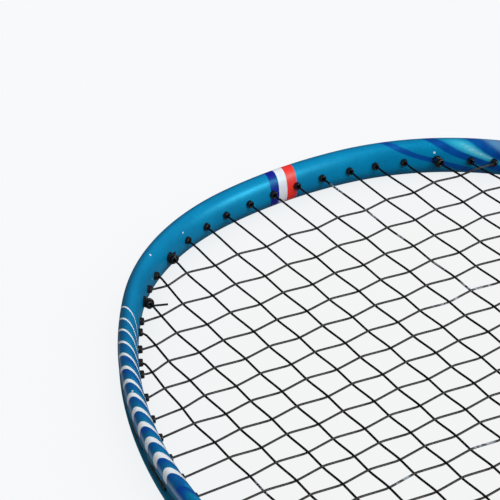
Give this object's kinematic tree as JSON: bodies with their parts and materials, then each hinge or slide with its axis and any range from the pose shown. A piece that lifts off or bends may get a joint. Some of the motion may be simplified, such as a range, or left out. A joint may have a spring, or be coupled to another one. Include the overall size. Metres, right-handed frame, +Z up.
{
  "type": "badminton racket",
  "caption": "Strung graphite racket with an isometric oval head, woven string bed, slim round shaft and an octagonal wrapped handle.",
  "frame": {"origin": "middle of the butt's flat end face", "axes": "+X across the head, +Y along the shaft from the butt to the tip, +Z up out of the string bed, which lies at z = 0"},
  "size_m": [0.1954, 0.675, 0.028],
  "materials": {
    "frame_paint": "gloss pearl paint over laid-up graphite",
    "foam": "closed-cell foam",
    "moulded_joint": "moulded composite",
    "shaft_finish": "gloss lacquer over graphite",
    "cap_plastic": "satin moulded",
    "wood": "bare machined",
    "badge": "blank printed film",
    "grip": "tacky polyurethane with fine perforations",
    "underlay": "adhesive foam film",
    "tape": "stretched vinyl",
    "staple": "drawn wire",
    "string": "braided multifilament nylon",
    "grommet": "moulded nylon"
  },
  "bodies": {
    "root": {"head_frame": "frame_paint", "frame_foam_core": "foam", "t_joint_core": "moulded_joint", "shaft_tube": "shaft_finish", "cone_cap": "cap_plastic", "handle_core": "wood", "butt_cap": "cap_plastic", "butt_badge": "badge", "grip_wrap": "grip", "grip_underlay": "underlay", "finishing_tape": "tape", "grip_staples": "staple", "main_string": "string", "cross_string": "string", "grommets_crown": "grommet", "grommets_throat": "grommet", "grommets_left_side": "grommet", "grommets_right_side": "grommet", "tie_off_grommets": "grommet", "knot_main_left": "string", "knot_main_right": "string", "knot_cross_top": "string", "knot_cross_bottom": "string"}
  },
  "joints": []
}
